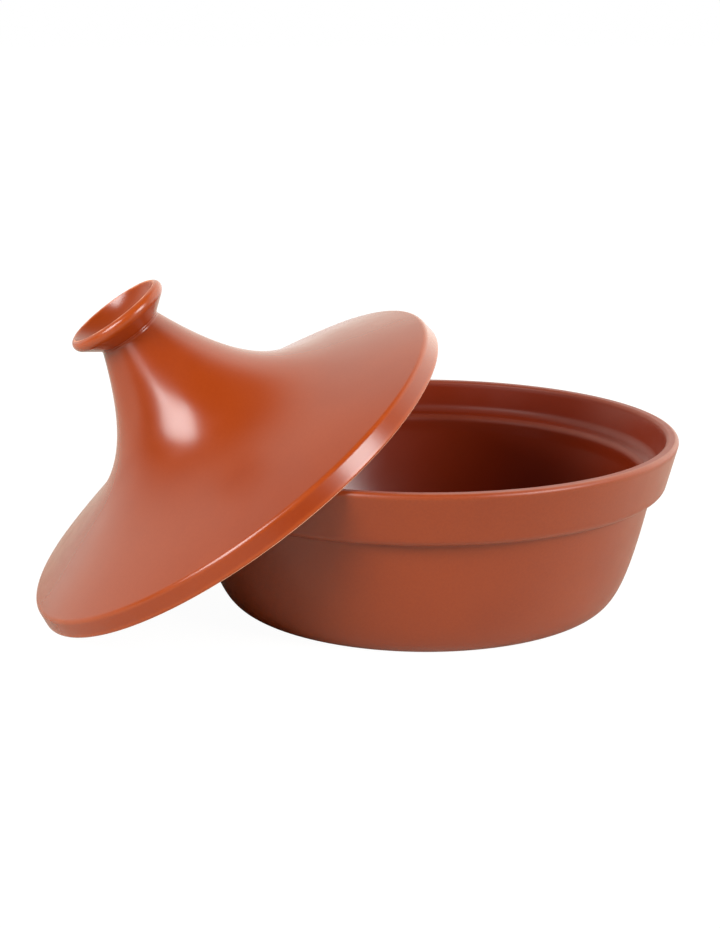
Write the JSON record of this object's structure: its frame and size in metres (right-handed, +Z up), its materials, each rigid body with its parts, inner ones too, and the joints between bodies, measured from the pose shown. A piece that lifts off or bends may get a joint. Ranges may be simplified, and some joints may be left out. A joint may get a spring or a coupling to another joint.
{
  "type": "tagine pot",
  "caption": "Round glazed earthenware cooking dish with a recessed rim ledge, and its conical lid with a cup-shaped knob leaning against the rim.",
  "frame": {"origin": "centre of the dish's flat foot, on the surface it stands on", "axes": "+Z up along the dish's axis; the lid leans towards -X and is symmetric about the XZ plane"},
  "size_m": [0.3503, 0.2788, 0.1787],
  "materials": {
    "dish_glaze": "satin brown terracotta glaze",
    "lid_glaze": "satin orange terracotta glaze"
  },
  "bodies": {
    "dish": {"base_dish": "dish_glaze"},
    "lid": {"lid": "lid_glaze"}
  },
  "joints": [
    {"name": "lid_lift", "type": "slide", "parent": "dish", "child": "lid", "axis": [0, 0, 1], "range_m": [0, 0.2]}
  ]
}
